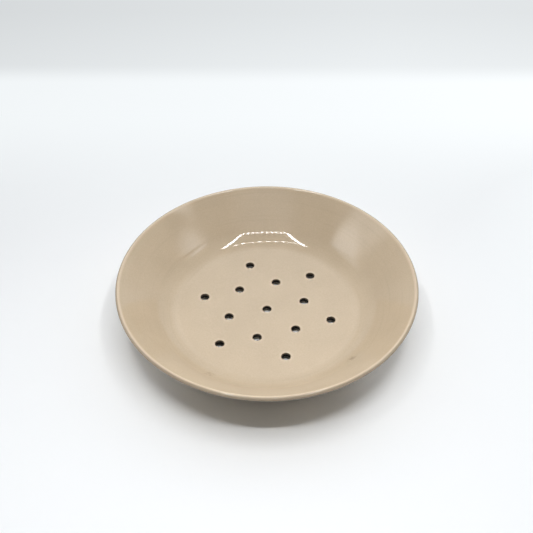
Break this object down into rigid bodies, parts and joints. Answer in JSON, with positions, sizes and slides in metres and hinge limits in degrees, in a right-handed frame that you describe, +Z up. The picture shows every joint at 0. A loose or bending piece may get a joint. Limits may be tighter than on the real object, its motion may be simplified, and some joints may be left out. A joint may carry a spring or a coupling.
{
  "type": "berry dish",
  "caption": "Shallow round glazed stoneware dish with drain holes through its floor and a low foot ring, for rinsing, draining and serving berries.",
  "frame": {"origin": "centre of the face of the foot ring that the dish stands on", "axes": "+Z up through the bowl's open mouth, along the axis that it was turned on; the inner ring of drain holes has a hole on +X and the outer ring one on +Y"},
  "size_m": [0.2, 0.2, 0.037],
  "materials": {
    "clay": "bare fired stoneware, matt",
    "glaze": "glossy warm beige glaze"
  },
  "bodies": {
    "root": {"clay_body": "clay", "glaze_coat": "glaze"}
  },
  "joints": []
}
